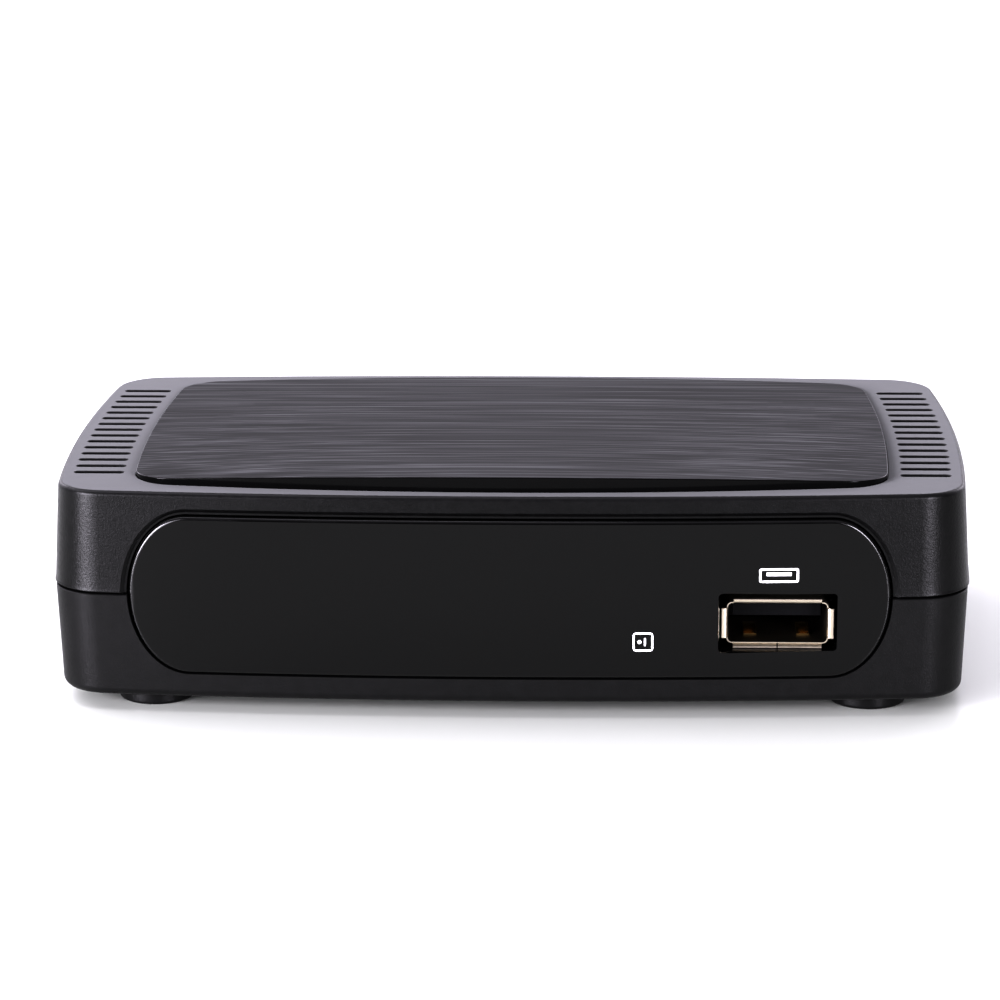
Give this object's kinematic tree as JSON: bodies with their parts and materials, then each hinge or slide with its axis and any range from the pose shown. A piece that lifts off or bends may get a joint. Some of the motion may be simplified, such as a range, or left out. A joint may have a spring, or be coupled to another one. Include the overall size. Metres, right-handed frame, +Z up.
{
  "type": "set-top digital tv recorder",
  "caption": "Small flat two-shell recorder box with a raised brushed cover plate, side vent slots, a smoked round-ended front window, a front data port, rear sockets and rubber feet.",
  "frame": {"origin": "under the middle of the object on the surface that its feet stand on, rear sockets included", "axes": "+X to the right seen from the front, -Y to the front window, +Z up"},
  "size_m": [0.119, 0.0786, 0.0309],
  "materials": {
    "shell_plastic": "satin black moulded ABS with a fine spark texture",
    "plate_finish": "dark grey, brushed from side to side, satin; glossy black at its front edge",
    "window_smoked": "smoked black polished plastic that infrared light passes",
    "foot_rubber": "smooth black rubber",
    "screw_black": "black zinc",
    "board_green": "green solder mask over fibreglass",
    "screw_steel": "bright zinc",
    "chip_black": "moulded epoxy",
    "pad_blue": "soft silicone pad",
    "sink_aluminium": "extruded, satin",
    "tin_plate": "tin plated sheet",
    "can_sleeve": "dark sleeve with no print, bare aluminium top",
    "led_clear": "water clear epoxy",
    "white_plastic": "off-white moulded plastic",
    "port_steel": "nickel plated, warm and bright",
    "contact_gold": "gold plated",
    "black_plastic": "black moulded plastic"
  },
  "bodies": {
    "case": {"top_shell": "shell_plastic", "bottom_shell": "shell_plastic", "cover_plate": "plate_finish", "front_window": "window_smoked", "foot_front_left": "foot_rubber", "foot_front_right": "foot_rubber", "foot_rear_left": "foot_rubber", "foot_rear_right": "foot_rubber", "case_screw_1": "screw_black", "case_screw_2": "screw_black", "case_screw_3": "screw_black", "case_screw_4": "screw_black", "main_board": "board_green", "board_screw_1": "screw_steel", "board_screw_2": "screw_steel", "main_processor": "chip_black", "memory_chip": "chip_black", "flash_chip": "chip_black", "regulator_chip": "chip_black", "inductor_1": "chip_black", "inductor_2": "chip_black", "ir_receiver": "chip_black", "thermal_pad": "pad_blue", "heatsink": "sink_aluminium", "crystal": "tin_plate", "tuner_can": "tin_plate", "ir_receiver_cage": "tin_plate", "capacitor_1": "can_sleeve", "capacitor_2": "can_sleeve", "capacitor_3": "can_sleeve", "capacitor_4": "can_sleeve", "status_led": "led_clear", "aerial_in_insulator": "white_plastic", "aerial_out_insulator": "white_plastic", "usb_shell": "port_steel", "aerial_in_barrel": "port_steel", "aerial_out_barrel": "port_steel", "video_socket_shell": "port_steel", "power_jack_pin": "port_steel", "aerial_in_contact": "contact_gold", "aerial_out_contact": "contact_gold", "av_jack_nose": "contact_gold", "usb_insulator": "black_plastic", "status_led_holder": "black_plastic", "video_socket_tongue": "black_plastic", "av_jack_body": "black_plastic", "power_jack_body": "black_plastic"},
    "usb_contacts": {"usb_contact_1": "contact_gold", "usb_contact_2": "contact_gold", "usb_contact_3": "contact_gold", "usb_contact_4": "contact_gold"}
  },
  "joints": [
    {"name": "usb_contact_flex", "type": "hinge", "parent": "case", "child": "usb_contacts", "pos_m": [0.03395, -0.02579, 0.01296], "axis": [-1, 0, 0], "range_deg": [0, 4], "stiffness_Nm_per_rad": 0.02}
  ]
}
